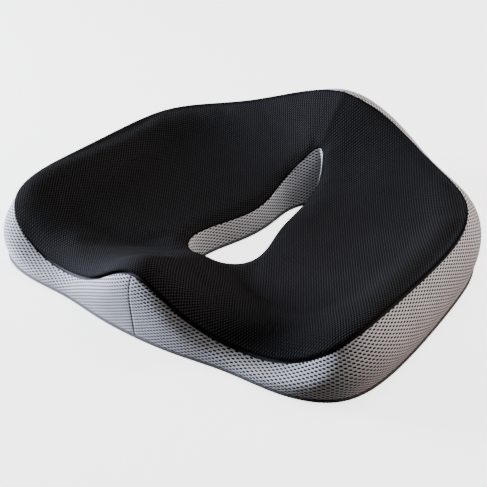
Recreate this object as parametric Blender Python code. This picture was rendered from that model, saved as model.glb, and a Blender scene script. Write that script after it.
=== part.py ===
"""Contoured foam seat cushion with a pressure-relief cut-out and a zipped cover.

Front of the seat is -Y, up is +Z, and the base rests on Z = 0. Lengths are in metres.
The cushion is a loft: a ring of stations runs round half of it, from the front centre to the back
centre, and each station is one slice from the base edge over the rim to the cut-out.
"""
import math

import bmesh
import bpy
import numpy as np

# Overall sizes
WIDTH = 0.448              # base, side to side
DEPTH = 0.390              # base, front to back
BACK_RADIUS = 0.285        # the whole back edge is one arc, and the zip follows it

# Heights of the seam between the black top and the grey side
POMMEL_HEIGHT = 0.070      # front centre, between the thighs
CHANNEL_HEIGHT = 0.020     # front edge under each thigh
FRONT_CORNER_HEIGHT = 0.050
SIDE_HEIGHT = 0.064
BACK_CORNER_HEIGHT = 0.072
BACK_HEIGHT = 0.115        # back centre

# Cut-out
CUTOUT_WIDTH = 0.076       # widest place, near its front
CUTOUT_LENGTH = 0.206
CUTOUT_BACK_MARGIN = 0.077  # from its back end to the back of the base
CUTOUT_TAPER = 0.003       # how far the wall leans in at the base
SEAT_THICKNESS = 0.027     # beside the waist of the cut-out
CUTOUT_FRONT_RISE = 0.010  # how much higher the seat is at the cut-out's front end
CUTOUT_BACK_RISE = 0.042   # and at its back end

# Cover
FABRIC = 0.003             # spacer mesh
BASE_FABRIC = 0.002
CORD = 0.003               # diameter of the edge cords
THREAD = 0.0008
GAP = 0.0003               # between touching pieces
FOAM_BASE_CHAMFER = 0.002
HOLE_EDGE_ROLL = 0.014     # the seat turns down this far from the cut-out
HOLE_EDGE_DROP = 0.004

# Zip
ZIP_ANGLE = math.radians(26)   # half of the arc that the zip takes
ZIP_TOP = 0.024                # lower edge of the side band above the zip
TAPE = 0.0008
TAPE_SINK = 0.0008             # how far the tape lies inside the face of the band
COIL_WIDTH = 0.0025
COIL_HEIGHT = 0.0018
COIL_SPLIT = 0.0018            # slot between the two coils, for the slider's neck
STOP_LENGTH = 0.0024
STOP_CLEARANCE = 0.0003
SLIDER_LENGTH = 0.011
SLIDER_HALF_HEIGHT = 0.0048
SLIDER_PLATE = 0.0012
SLIDER_UNDER_PLATE = 0.0009
SLIDER_NECK = 0.0012
SLIDER_FLANGE = 0.001
RUNNING_CLEARANCE = 0.0004
BRIDGE_WIDTH = 0.0024
BRIDGE_POST = 0.001
BRIDGE_INSIDE = 0.0052
BRIDGE_ROOM = 0.0019           # height of the eye under the bridge
PULL_LENGTH = 0.024
PULL_WIDTH = 0.0068
PULL_THICKNESS = 0.001
PULL_WINDOW = 0.0038           # width of the window that the bridge stands in
PULL_WINDOW_END = 0.0065

# How finely the loft is divided
COLUMNS_PER_SPAN = 3
BAND_STEPS = (0.28, 0.52, 0.73, 0.88, 1.0)
TOP_STEPS = (0.05, 0.12, 0.23, 0.40, 0.60, 0.79, 0.92, 1.0)
WALL_STEPS = (0.5, 1.0)
CORD_SIDES = 6
ARC_STEPS = 24

HALF_WIDTH = WIDTH / 2
HALF_DEPTH = DEPTH / 2
CUTOUT_FRONT_Y = HALF_DEPTH - CUTOUT_BACK_MARGIN - CUTOUT_LENGTH
BACK_CENTRE_Y = HALF_DEPTH - BACK_RADIUS
BAND_BASE = CORD + 2 * GAP             # lower edge of the side bands
FOAM_BASE = BASE_FABRIC + GAP
FOAM_INSET = FABRIC + GAP
ZIP_MIDDLE = (ZIP_TOP + BAND_BASE) / 2


def on_back_arc(angle):
    return BACK_RADIUS * math.sin(angle), BACK_CENTRE_Y + BACK_RADIUS * math.cos(angle)


# Base outline, front centre to back centre, as shares of the half width and half depth,
# then the three places on the back arc.
FRONT_AND_SIDE = [
    (0.000, -1.000),
    (0.223, -0.985),
    (0.464, -0.949),
    (0.712, -0.932),
    (0.922, -0.822),
    (1.000, -0.560),
    (1.000, -0.195),
    (0.975, 0.170),
    (0.925, 0.460),
    (0.792, 0.680),
]
BASE = [(x * HALF_WIDTH, y * HALF_DEPTH) for x, y in FRONT_AND_SIDE]
BASE += [on_back_arc(ZIP_ANGLE), on_back_arc(ZIP_ANGLE / 2), on_back_arc(0)]

# How far inside the base outline the top seam lies, and how high.
SEAM_INSET = [0.001, 0.003, 0.009, 0.013, 0.008, 0.009, 0.008, 0.006, 0.008, 0.013, 0.024, 0.025, 0.027]
SEAM_HEIGHT = [
    POMMEL_HEIGHT,
    0.48 * POMMEL_HEIGHT + 0.52 * CHANNEL_HEIGHT,
    CHANNEL_HEIGHT,
    0.87 * CHANNEL_HEIGHT + 0.13 * FRONT_CORNER_HEIGHT,
    FRONT_CORNER_HEIGHT,
    SIDE_HEIGHT,
    SIDE_HEIGHT,
    SIDE_HEIGHT,
    0.5 * (SIDE_HEIGHT + BACK_CORNER_HEIGHT),
    BACK_CORNER_HEIGHT,
    0.77 * BACK_CORNER_HEIGHT + 0.23 * BACK_HEIGHT,
    0.33 * BACK_CORNER_HEIGHT + 0.67 * BACK_HEIGHT,
    BACK_HEIGHT,
]

# Slope in degrees at which the side band reaches the seam: up on the sides, over and down at the back.
RIM_ANGLE = [62, 62, 60, 58, 55, 52, 50, 50, 46, 32, 8, -8, -14]
# How far the side band leans out as it leaves the base, as a slope.
LEAN = [0.07, 0.09, 0.12, 0.20, 0.32, 0.36, 0.30, 0.28, 0.26, 0.20, 0.15, 0.16, 0.16]
# The seat dishes from the seam to the cut-out: 1 is straight, and more is hollower.
DISH = [1.0, 1.0, 1.0, 1.2, 1.6, 1.9, 2.0, 2.0, 1.9, 1.7, 1.5, 1.3, 1.15]
# The seat rolls over inside the seam: how far it rises above the dish, and over what width.
RIM_RISE = [0.011, 0.012, 0.014, 0.012, 0.008, 0.006, 0.005, 0.005, 0.004, 0.002, 0.000, 0.000, 0.000]
RIM_WIDTH = [0.075, 0.090, 0.100, 0.090, 0.070, 0.055, 0.050, 0.050, 0.050, 0.050, 0.040, 0.040, 0.040]

# Cut-out, as shares of its half width and of its length from the front end, and the share of
# the front and back rises that the seat has there.
CUTOUT = [
    (0.00, 0.000),
    (0.37, 0.010),
    (0.66, 0.039),
    (0.88, 0.087),
    (1.00, 0.155),
    (0.97, 0.233),
    (0.84, 0.330),
    (0.58, 0.495),
    (0.50, 0.655),
    (0.52, 0.786),
    (0.44, 0.874),
    (0.26, 0.947),
    (0.00, 1.000),
]
CUTOUT_FRONT_SHARE = [1.0, 0.8, 0.6, 0.4, 0.3, 0.2, 0.1, 0.0, 0.0, 0.0, 0.0, 0.0, 0.0]
CUTOUT_BACK_SHARE = [0.0, 0.0, 0.0, 0.0, 0.0, 0.0, 0.0, 0.0, 0.06, 0.27, 0.50, 0.78, 1.0]


def material(name, colour, roughness, metallic=0.0):
    made = bpy.data.materials.new(name)
    made.use_nodes = True
    shader = made.node_tree.nodes["Principled BSDF"]
    shader.inputs["Base Color"].default_value = (*colour, 1.0)
    shader.inputs["Roughness"].default_value = roughness
    shader.inputs["Metallic"].default_value = metallic
    return made


def add_object(name, mesh, finish, smooth_angle=None):
    mesh.materials.append(finish)
    if smooth_angle:
        mesh.shade_smooth()
        mesh.set_sharp_from_angle(angle=math.radians(smooth_angle))
    made = bpy.data.objects.new(name, mesh)
    bpy.context.scene.collection.objects.link(made)
    return made


def around(half, mirrored=1.0):
    """Values at the stations of one half, carried round to the other half."""
    half = np.array(half, float)
    return np.concatenate([half, mirrored * half[-2:0:-1]])


def smooth_ring(values):
    """Reads a closed ring of station values at every column, along a smooth cubic."""
    count = len(values)
    row = np.arange(count)
    system = np.zeros((count, count))
    system[row, row] = 4
    system[row, (row + 1) % count] = 1
    system[row, (row - 1) % count] = 1
    slopes = np.linalg.solve(system, 3 * (np.roll(values, -1) - np.roll(values, 1)))
    after, slope_after = np.roll(values, -1), np.roll(slopes, -1)
    columns = []
    for step in range(COLUMNS_PER_SPAN):
        t = step / COLUMNS_PER_SPAN
        columns.append(
            (2 * t**3 - 3 * t**2 + 1) * values
            + (t**3 - 2 * t**2 + t) * slopes
            + (3 * t**2 - 2 * t**3) * after
            + (t**3 - t**2) * slope_after
        )
    return np.stack(columns, axis=1).ravel()


def ring_of(half):
    return smooth_ring(around(half))


def plan_ring(half):
    points = np.array(half, float)
    return np.stack([smooth_ring(around(points[:, 0], -1.0)), ring_of(points[:, 1])], axis=1)


def outward_of(plan):
    """Unit vectors in plan that point out of a ring running anticlockwise from the front."""
    along = np.roll(plan, -1, 0) - np.roll(plan, 1, 0)
    out = np.stack([along[:, 1], -along[:, 0]], axis=1)
    return out / np.linalg.norm(out, axis=1)[:, None]


def lifted(plan, height):
    return np.column_stack([plan, np.broadcast_to(height, len(plan))])


def bezier(p0, p1, p2, p3, t):
    return (1 - t) ** 3 * p0 + 3 * t * (1 - t) ** 2 * p1 + 3 * t * t * (1 - t) * p2 + t**3 * p3


def cutout_stations():
    return [(x * CUTOUT_WIDTH / 2, CUTOUT_FRONT_Y + y * CUTOUT_LENGTH) for x, y in CUTOUT]


def cutout_heights():
    front = np.array(CUTOUT_FRONT_SHARE) * CUTOUT_FRONT_RISE
    return SEAT_THICKNESS + front + np.array(CUTOUT_BACK_SHARE) * CUTOUT_BACK_RISE


def skin_rows():
    """Outer face of the cover: one ring of points for each row, from the base edge to the cut-out's base."""
    base = plan_ring(BASE)
    out = outward_of(base)
    seam_height = ring_of(SEAM_HEIGHT)
    seam = lifted(base - out * ring_of(SEAM_INSET)[:, None], seam_height)
    foot = lifted(base, BAND_BASE)
    in_zip = around([0.0] * 8 + [0.15, 0.6, 1.0, 1.0, 1.0])
    straight = np.clip(smooth_ring(in_zip), 0, 1)
    knee_rise = 0.2 * (seam_height - BAND_BASE) * (1 - straight) + (ZIP_TOP - BAND_BASE) * straight
    lean = ring_of(LEAN)
    knee_plan = base + out * (lean * knee_rise * (1 - straight))[:, None]
    knee = lifted(knee_plan, BAND_BASE + knee_rise)
    rows = [foot, knee]
    up = np.array([0.0, 0.0, 1.0])
    out3 = lifted(out, 0.0)
    reach = np.linalg.norm(seam - knee, axis=1)[:, None]
    angle = np.radians(ring_of(RIM_ANGLE))[:, None]
    arrival = -out3 * np.cos(angle) + up * np.sin(angle)
    leave = out3 * lean[:, None] + up
    for t in BAND_STEPS:
        rows.append(bezier(knee, knee + leave * reach * 0.42, seam - arrival * reach * 0.36, seam, t))
    edge_plan = plan_ring(cutout_stations())
    edge_height = ring_of(cutout_heights())
    dish, rise, width = ring_of(DISH), ring_of(RIM_RISE), ring_of(RIM_WIDTH)
    across = np.linalg.norm(edge_plan - seam[:, :2], axis=1)
    for share in TOP_STEPS:
        plan = seam[:, :2] + (edge_plan - seam[:, :2]) * share
        height = edge_height + (seam_height - edge_height) * (1 - share) ** dish
        roll = np.clip(share * across / width, 0, 1)
        height = height + rise * 6.75 * roll * (1 - roll) ** 2
        near = np.clip(1 - (1 - share) * across / HOLE_EDGE_ROLL, 0, 1)
        rows.append(lifted(plan, height + HOLE_EDGE_DROP * (1 - near**2)))
    rim = rows[-1]
    hole_base = edge_plan - outward_of(edge_plan) * CUTOUT_TAPER
    for share in WALL_STEPS:
        plan = edge_plan + (hole_base - edge_plan) * share
        rows.append(lifted(plan, rim[:, 2] + (BAND_BASE - rim[:, 2]) * share))
    return np.array(rows)


def unit(vectors):
    return vectors / np.maximum(np.linalg.norm(vectors, axis=-1, keepdims=True), 1e-12)


def skin_offsets(rows):
    """Vector at each point that, times a depth, gives a face at that depth inside the skin, corners included."""
    round_way = np.roll(rows, -1, 1) - np.roll(rows, 1, 1)
    steps = rows[1:] - rows[:-1]
    before = unit(np.cross(round_way, np.concatenate([steps[:1], steps])))
    after = unit(np.cross(round_way, np.concatenate([steps, steps[-1:]])))
    mean = unit(before + after)
    return -mean / np.maximum((mean * before).sum(-1, keepdims=True), 0.7)


def flat_end(offsets, row):
    """The offset of an end row, kept level so that the edge of the cloth stays at its height."""
    level = offsets[row].copy()
    level[:, 2] = 0
    offsets[row] = unit(level)


def sheet(outer, inner, keep=None, closed=True):
    """Solid between two grids of points. keep says which cells it has."""
    rows, columns = outer.shape[:2]
    across = columns if closed else columns - 1
    keep = np.ones((rows - 1, across), bool) if keep is None else keep
    mesh = bmesh.new()
    corners = {}

    def corner(side, r, c):
        key = (side, r, c % columns)
        if key not in corners:
            corners[key] = mesh.verts.new((outer, inner)[side][r, c % columns])
        return corners[key]

    def face(*keys):
        mesh.faces.new([corner(*k) for k in keys])

    for r in range(rows - 1):
        for c in range(across):
            if not keep[r, c]:
                continue
            face((0, r, c), (0, r, c + 1), (0, r + 1, c + 1), (0, r + 1, c))
            face((1, r, c), (1, r + 1, c), (1, r + 1, c + 1), (1, r, c + 1))
            if r == 0 or not keep[r - 1, c]:
                face((0, r, c), (1, r, c), (1, r, c + 1), (0, r, c + 1))
            if r == rows - 2 or not keep[r + 1, c]:
                face((0, r + 1, c), (0, r + 1, c + 1), (1, r + 1, c + 1), (1, r + 1, c))
            left, right = c - 1, c + 1
            if closed:
                left, right = left % across, right % across
            if left < 0 or not keep[r, left]:
                face((0, r, c), (0, r + 1, c), (1, r + 1, c), (1, r, c))
            if right >= across or not keep[r, right]:
                face((0, r, c + 1), (1, r, c + 1), (1, r + 1, c + 1), (0, r + 1, c + 1))
    data = bpy.data.meshes.new("sheet")
    mesh.to_mesh(data)
    mesh.free()
    return data


def trimmed(rows, first, last, start_gap, end_gap):
    """Rows first to last, with the end rows drawn back along the cloth for the seam gaps."""
    part = rows[first : last + 1].copy()
    if start_gap:
        part[0] += unit(part[1] - part[0]) * GAP / 2
    if end_gap:
        part[-1] += unit(part[-2] - part[-1]) * GAP / 2
    return part


def tube(plan, height, radius, sides):
    """Closed cord along a ring in plan."""
    out = outward_of(plan)
    mesh = bmesh.new()
    rings = []
    for (x, y), (ox, oy) in zip(plan, out):
        ring = []
        for side in range(sides):
            a = 2 * math.pi * (side + 0.5) / sides
            ring.append(mesh.verts.new((x + ox * radius * math.cos(a), y + oy * radius * math.cos(a),
                                        height + radius * math.sin(a))))
        rings.append(ring)
    for ring, following in zip(rings, rings[1:] + rings[:1]):
        for side in range(sides):
            beside = (side + 1) % sides
            mesh.faces.new((ring[side], following[side], following[beside], ring[beside]))
    data = bpy.data.meshes.new("cord")
    mesh.to_mesh(data)
    mesh.free()
    return data


def swept(stations):
    """Solid through a list of equal closed outlines, with both ends capped."""
    mesh = bmesh.new()
    rings = [[mesh.verts.new(p) for p in outline] for outline in stations]
    for ring, following in zip(rings, rings[1:]):
        for i in range(len(ring)):
            j = (i + 1) % len(ring)
            mesh.faces.new((ring[i], ring[j], following[j], following[i]))
    mesh.faces.new(rings[0][::-1])
    mesh.faces.new(rings[-1])
    bmesh.ops.recalc_face_normals(mesh, faces=mesh.faces)
    data = bpy.data.meshes.new("sweep")
    mesh.to_mesh(data)
    mesh.free()
    return data


def arc_bar(low_radius, high_radius, low, high, start, end, bevel=0.0, steps=ARC_STEPS):
    """Bar bent along the back arc, between two radii and two heights."""
    outline = [(low_radius, low), (high_radius - bevel, low), (high_radius, low + bevel),
               (high_radius, high - bevel), (high_radius - bevel, high), (low_radius, high)]
    if not bevel:
        outline = [(low_radius, low), (high_radius, low), (high_radius, high), (low_radius, high)]
    stations = []
    for step in range(steps + 1):
        a = start + (end - start) * step / steps
        stations.append([(r * math.sin(a), BACK_CENTRE_Y + r * math.cos(a), z) for r, z in outline])
    return swept(stations)


def prism(outline, place, low, high):
    """Outline extruded between two depths. place turns (u, v, depth) into a point."""
    return swept([[place(u, v, low) for u, v in outline], [place(u, v, high) for u, v in outline]])


def joined(name, body, additions, finish):
    """Body with other meshes united to it."""
    made = add_object(name, body, finish)
    for index, extra in enumerate(additions):
        helper = add_object(f"{name}_add_{index}", extra, finish)
        helper.hide_render = True
        helper.display_type = "WIRE"
        union = made.modifiers.new(f"join_{index}", "BOOLEAN")
        union.operation = "UNION"
        union.object = helper
    return made


def cut(made, cutter_mesh, finish):
    helper = add_object(f"{made.name}_cutter", cutter_mesh, finish)
    helper.hide_render = True
    helper.display_type = "WIRE"
    hole = made.modifiers.new("cut", "BOOLEAN")
    hole.operation = "DIFFERENCE"
    hole.object = helper


def make_cover(rows, offsets, black, grey):
    """Top panel, the two side bands and the band that lines the cut-out."""
    seam = 1 + len(BAND_STEPS)
    edge = seam + len(TOP_STEPS)
    inner = rows + offsets * FABRIC
    top = [trimmed(face, seam, edge, True, True) for face in (rows, inner)]
    add_object("top_panel", sheet(*top), black, 50)
    lining = [trimmed(face, edge, len(rows) - 1, True, False) for face in (rows, inner)]
    add_object("cutout_band", sheet(*lining), grey, 50)
    band = [trimmed(face, 0, seam, False, True) for face in (rows, inner)]
    half = rows.shape[1] // 2
    zip_columns = 2 * COLUMNS_PER_SPAN
    keep = np.ones((seam, half), bool)
    keep[0, half - zip_columns :] = False
    shift = np.array([GAP / 2, 0, 0])
    right = [face[:, : half + 1].copy() for face in band]
    for face in right:
        face[:, [0, -1], 0] = 0
        face[:, [0, -1]] += shift
    add_object("side_band_right", sheet(*right, keep=keep, closed=False), grey, 50)
    mirror = np.array([-1.0, 1.0, 1.0])
    left = [face[:, ::-1] * mirror for face in right]
    add_object("side_band_left", sheet(*left, keep=keep[:, ::-1], closed=False), grey, 50)


def make_foam(rows, offsets, white):
    inner = rows + offsets * FOAM_INSET
    base = plan_ring(BASE)
    out = outward_of(base)
    hole = rows[-1][:, :2]
    hole_out = outward_of(hole)
    reach = FOAM_INSET + FOAM_BASE_CHAMFER
    first = lifted(base - out * reach, FOAM_BASE)
    last = lifted(hole + hole_out * reach, FOAM_BASE)
    grid = np.concatenate([first[None], inner, last[None]])
    mesh = bmesh.new()
    count, columns = grid.shape[:2]
    points = [[mesh.verts.new(p) for p in ring] for ring in grid]
    for r in range(count):
        below, above = points[r], points[(r + 1) % count]
        for c in range(columns):
            d = (c + 1) % columns
            mesh.faces.new((below[c], below[d], above[d], above[c]))
    data = bpy.data.meshes.new("foam")
    mesh.to_mesh(data)
    mesh.free()
    add_object("foam_core", data, white, 50)


def make_base(rows, black, cord_finish):
    base = plan_ring(BASE)
    out = outward_of(base)
    hole = rows[-1][:, :2]
    hole_out = outward_of(hole)
    edge, hole_edge = base - out * (CORD + GAP), hole + hole_out * (CORD + GAP)
    upper = np.stack([lifted(edge, BASE_FABRIC), lifted(hole_edge, BASE_FABRIC)])
    lower = np.stack([lifted(edge, 0.0), lifted(hole_edge, 0.0)])
    add_object("base_panel", sheet(upper, lower), black)
    middle = GAP + CORD / 2
    add_object("base_edge_cord", tube(base - out * CORD / 2, middle, CORD / 2, CORD_SIDES), cord_finish, 70)
    inner_line = hole + hole_out * CORD / 2
    add_object("cutout_edge_cord", tube(inner_line, middle, CORD / 2, CORD_SIDES), cord_finish, 70)


def make_seam_threads(rows, offsets, finish):
    """The stitched joins of the side bands, at the front centre and at the back centre."""
    seam = 1 + len(BAND_STEPS)
    for name, column, first in (("front_seam_thread", 0, 0), ("back_seam_thread", rows.shape[1] // 2, 1)):
        line = rows[first : seam + 1, column] - offsets[first : seam + 1, column] * (GAP + THREAD / 2)
        line = line.copy()
        line[0, 2] += GAP
        line[-1] += unit(line[-2] - line[-1]) * THREAD
        outlines = []
        for point, off in zip(line, offsets[first : seam + 1, column]):
            out = -unit(off)
            outline = []
            for side in range(CORD_SIDES):
                a = 2 * math.pi * side / CORD_SIDES
                sideways = np.array([THREAD / 2 * math.cos(a), 0.0, 0.0])
                outline.append(point + sideways + out * THREAD / 2 * math.sin(a))
            outlines.append(outline)
        add_object(name, swept(outlines), finish, 70)


def make_zip(tape_finish, coil_finish, metal):
    """Tapes, coils, stops, slider and pull. The slider waits at the closed end, at -X."""
    face = BACK_RADIUS - TAPE_SINK
    ends = ZIP_ANGLE - GAP / BACK_RADIUS
    half_split = COIL_SPLIT / 2
    coil_low = face + GAP
    coil_end = ends - STOP_CLEARANCE / BACK_RADIUS
    for name, side in (("upper", 1), ("lower", -1)):
        near = ZIP_MIDDLE + side * half_split
        far = ZIP_TOP - GAP if side > 0 else BAND_BASE
        low, high = sorted((near, far))
        add_object(f"zip_tape_{name}", arc_bar(face - TAPE, face, low, high, -ends, ends), tape_finish)
        low, high = sorted((near, near + side * COIL_WIDTH))
        bar = arc_bar(coil_low, coil_low + COIL_HEIGHT, low, high, -coil_end, coil_end, COIL_HEIGHT / 3)
        add_object(f"zip_coil_{name}", bar, coil_finish)

    slider_angle = SLIDER_LENGTH / BACK_RADIUS
    stop_angle = STOP_LENGTH / BACK_RADIUS
    coil_top = coil_low + COIL_HEIGHT
    for name, end in (("closed", -1), ("open", 1)):
        outer = end * coil_end
        inner = outer - end * stop_angle
        low, high = ZIP_MIDDLE - half_split - COIL_WIDTH, ZIP_MIDDLE + half_split + COIL_WIDTH
        start, finish = sorted((outer, inner))
        clip = arc_bar(coil_top + GAP, coil_top + GAP + TAPE, low, high, start, finish, steps=2)
        add_object(f"zip_stop_{name}", clip, metal)

    angle = -(coil_end - stop_angle - slider_angle / 2) + STOP_CLEARANCE / BACK_RADIUS
    out = np.array([math.sin(angle), math.cos(angle), 0.0])
    along = np.array([math.cos(angle), -math.sin(angle), 0.0])
    up = np.array([0.0, 0.0, 1.0])
    centre = np.array([0.0, BACK_CENTRE_Y, ZIP_MIDDLE])

    def lengthwise(radius, height, depth):
        return centre + out * radius + up * height + along * depth

    plate_low = coil_top + RUNNING_CLEARANCE
    plate_top = plate_low + SLIDER_PLATE
    under_top = face - TAPE - RUNNING_CLEARANCE
    under_low = under_top - SLIDER_UNDER_PLATE
    flange_low = face + RUNNING_CLEARANCE
    flange_in = SLIDER_HALF_HEIGHT - SLIDER_FLANGE
    neck = SLIDER_NECK / 2
    half = [
        (under_low, SLIDER_HALF_HEIGHT),
        (under_top, SLIDER_HALF_HEIGHT),
        (under_top, neck),
        (plate_low, neck),
        (plate_low, flange_in),
        (flange_low, flange_in),
        (flange_low, SLIDER_HALF_HEIGHT),
        (plate_top, SLIDER_HALF_HEIGHT),
    ]
    profile = half + [(r, -z) for r, z in reversed(half)]
    body = prism(profile, lengthwise, -SLIDER_LENGTH / 2, SLIDER_LENGTH / 2)
    inside, outside = BRIDGE_INSIDE / 2, BRIDGE_INSIDE / 2 + BRIDGE_POST
    root = plate_top - SLIDER_PLATE / 2
    eye_top = plate_top + BRIDGE_ROOM
    bridge_top = eye_top + BRIDGE_POST
    arch = [(-outside, root), (-inside, root), (-inside, eye_top), (inside, eye_top),
            (inside, root), (outside, root), (outside, bridge_top - BRIDGE_POST / 2),
            (outside - BRIDGE_POST / 2, bridge_top), (-outside + BRIDGE_POST / 2, bridge_top),
            (-outside, bridge_top - BRIDGE_POST / 2)]

    def upright(distance, radius, depth):
        return centre + along * distance + out * radius + up * depth

    bridge = prism(arch, upright, -BRIDGE_WIDTH / 2, BRIDGE_WIDTH / 2)
    joined("zip_slider", body, [bridge], metal)

    pin_radius = plate_top + BRIDGE_ROOM / 2
    bar, wide, tip = PULL_THICKNESS / 2, PULL_WIDTH / 2, PULL_WIDTH / 4
    outline = [(-bar, -wide), (PULL_LENGTH - tip, -wide), (PULL_LENGTH, -wide + tip),
               (PULL_LENGTH, wide - tip), (PULL_LENGTH - tip, wide), (-bar, wide)]

    def flat(distance, height, depth):
        return centre + along * distance + up * height + out * (pin_radius + depth)

    pull = add_object("zip_pull", prism(outline, flat, -bar, bar), metal)
    window = [(bar, -PULL_WINDOW / 2), (PULL_WINDOW_END, -PULL_WINDOW / 2),
              (PULL_WINDOW_END, PULL_WINDOW / 2), (bar, PULL_WINDOW / 2)]
    cut(pull, prism(window, flat, -PULL_WIDTH, PULL_WIDTH), metal)


def main():
    for item in list(bpy.data.objects):
        bpy.data.objects.remove(item)
    black = material("black_spacer_mesh", (0.012, 0.012, 0.014), 0.9)
    grey = material("grey_air_mesh", (0.42, 0.42, 0.44), 0.85)
    white = material("foam", (0.82, 0.80, 0.74), 0.95)
    base_black = material("base_cloth", (0.015, 0.015, 0.016), 0.85)
    cord_black = material("edge_cord", (0.010, 0.010, 0.011), 0.7)
    thread = material("thread", (0.10, 0.10, 0.11), 0.6)
    tape = material("zip_tape", (0.012, 0.012, 0.013), 0.8)
    coil = material("zip_coil", (0.014, 0.014, 0.015), 0.35)
    metal = material("slider_metal", (0.30, 0.30, 0.31), 0.35, 1.0)
    rows = skin_rows()
    offsets = skin_offsets(rows)
    flat_end(offsets, 0)
    flat_end(offsets, 1)
    flat_end(offsets, -1)
    make_foam(rows, offsets, white)
    make_cover(rows, offsets, black, grey)
    make_base(rows, base_black, cord_black)
    make_seam_threads(rows, offsets, thread)
    make_zip(tape, coil, metal)


main()
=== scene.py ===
import math

import bmesh
import bpy
import numpy as np
from mathutils import Matrix, Vector


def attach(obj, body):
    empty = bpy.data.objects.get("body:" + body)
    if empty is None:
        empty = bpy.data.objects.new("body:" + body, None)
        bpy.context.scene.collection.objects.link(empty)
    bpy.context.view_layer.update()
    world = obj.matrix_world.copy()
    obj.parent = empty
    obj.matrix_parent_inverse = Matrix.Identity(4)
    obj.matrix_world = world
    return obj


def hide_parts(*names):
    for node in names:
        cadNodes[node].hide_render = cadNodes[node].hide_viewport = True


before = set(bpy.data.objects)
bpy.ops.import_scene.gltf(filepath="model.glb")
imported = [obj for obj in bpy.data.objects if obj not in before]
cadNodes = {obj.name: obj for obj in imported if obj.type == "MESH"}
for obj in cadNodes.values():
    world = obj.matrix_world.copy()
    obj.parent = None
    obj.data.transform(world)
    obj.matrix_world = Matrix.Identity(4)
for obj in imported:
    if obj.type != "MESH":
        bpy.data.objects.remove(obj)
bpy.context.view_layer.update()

mm = 0.001
up = np.array([0.0, 0.0, 1.0])

# The cushion's own sizes, in metres, the same as the CAD model's.
shape = {
    "halfWidth": 0.224,
    "halfDepth": 0.195,
    "backRadius": 0.285,
    "pommel": 0.070,
    "channel": 0.020,
    "frontCorner": 0.050,
    "side": 0.064,
    "backCorner": 0.072,
    "back": 0.115,
    "bandBase": 0.0036,
    "zipTop": 0.024,
    "zipAngle": math.radians(26),
    "seatThickness": 0.027,
    "cutoutWidth": 0.076,
    "cutoutLength": 0.206,
    "cutoutFront": -0.088,
    "cutoutTaper": 0.003,
    "cutoutFrontRise": 0.010,
    "cutoutBackRise": 0.042,
    "edgeRoll": 0.014,
    "edgeDrop": 0.004,
}
backCentre = shape["halfDepth"] - shape["backRadius"]


def onBackArc(angle, radius=shape["backRadius"]):
    return radius * math.sin(angle), backCentre + radius * math.cos(angle)


# Thirteen stations run from the front centre round one side to the back centre.
frontAndSide = [
    (0.000, -1.000), (0.223, -0.985), (0.464, -0.949), (0.712, -0.932), (0.922, -0.822),
    (1.000, -0.560), (1.000, -0.195), (0.975, 0.170), (0.925, 0.460), (0.792, 0.680),
]
baseStations = [(x * shape["halfWidth"], y * shape["halfDepth"]) for x, y in frontAndSide]
baseStations += [onBackArc(shape["zipAngle"]), onBackArc(shape["zipAngle"] / 2), onBackArc(0)]
# At the back the seam lies up to 4 mm further in than on the CAD model, and the band curls over to meet it.
seamInset = [0.001, 0.003, 0.010, 0.015, 0.010, 0.009, 0.008, 0.006, 0.010, 0.017, 0.024, 0.026, 0.031]
pommel, channel, frontCorner, side, backCorner, back = (
    shape[key] for key in ("pommel", "channel", "frontCorner", "side", "backCorner", "back")
)
seamHeight = [
    pommel, 0.48 * pommel + 0.52 * channel, channel, 0.87 * channel + 0.13 * frontCorner, frontCorner,
    side, side, side, 0.5 * (side + backCorner), backCorner,
    0.77 * backCorner + 0.23 * back, 0.33 * backCorner + 0.67 * back, back,
]
rimAngle = [62, 62, 60, 58, 55, 52, 50, 50, 36, 12, 24, 2, -20]
bandLean = [0.07, 0.09, 0.12, 0.20, 0.32, 0.36, 0.30, 0.28, 0.26, 0.20, 0.15, 0.16, 0.16]
dishPower = [1.0, 1.0, 1.0, 1.2, 1.6, 1.9, 2.0, 2.0, 1.9, 1.7, 1.5, 1.3, 1.15]
rimRise = [0.011, 0.012, 0.014, 0.012, 0.008, 0.006, 0.005, 0.005, 0.004, 0.002, 0.000, 0.000, 0.000]
rimWidth = [0.075, 0.090, 0.100, 0.090, 0.070, 0.055, 0.050, 0.050, 0.050, 0.050, 0.040, 0.040, 0.040]
zipShare = [0.0] * 8 + [0.15, 0.6, 1.0, 1.0, 1.0]
cutoutShares = [
    (0.00, 0.000), (0.37, 0.010), (0.66, 0.039), (0.88, 0.087), (1.00, 0.155), (0.97, 0.233),
    (0.84, 0.330), (0.58, 0.495), (0.50, 0.655), (0.52, 0.786), (0.44, 0.874), (0.26, 0.947), (0.00, 1.000),
]
frontShare = [1.0, 0.8, 0.6, 0.4, 0.3, 0.2, 0.1, 0.0, 0.0, 0.0, 0.0, 0.0, 0.0]
backShare = [0.0, 0.0, 0.0, 0.0, 0.0, 0.0, 0.0, 0.0, 0.06, 0.27, 0.50, 0.78, 1.0]
stationCount = 24


def ringSpline(half, mirrored=1.0):
    # A smooth closed curve through the stations, read at any place from 0 to 24.
    half = np.array(half, float)
    values = np.concatenate([half, mirrored * half[-2:0:-1]])
    count = len(values)
    row = np.arange(count)
    system = np.zeros((count, count))
    system[row, row] = 4
    system[row, (row + 1) % count] = 1
    system[row, (row - 1) % count] = 1
    slopes = np.linalg.solve(system, 3 * (np.roll(values, -1) - np.roll(values, 1)))

    def read(place):
        place = np.asarray(place) % count
        first = np.floor(place).astype(int) % count
        t = place - np.floor(place)
        after = (first + 1) % count
        return (
            (2 * t**3 - 3 * t**2 + 1) * values[first]
            + (t**3 - 2 * t**2 + t) * slopes[first]
            + (3 * t**2 - 2 * t**3) * values[after]
            + (t**3 - t**2) * slopes[after]
        )

    return read


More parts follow.
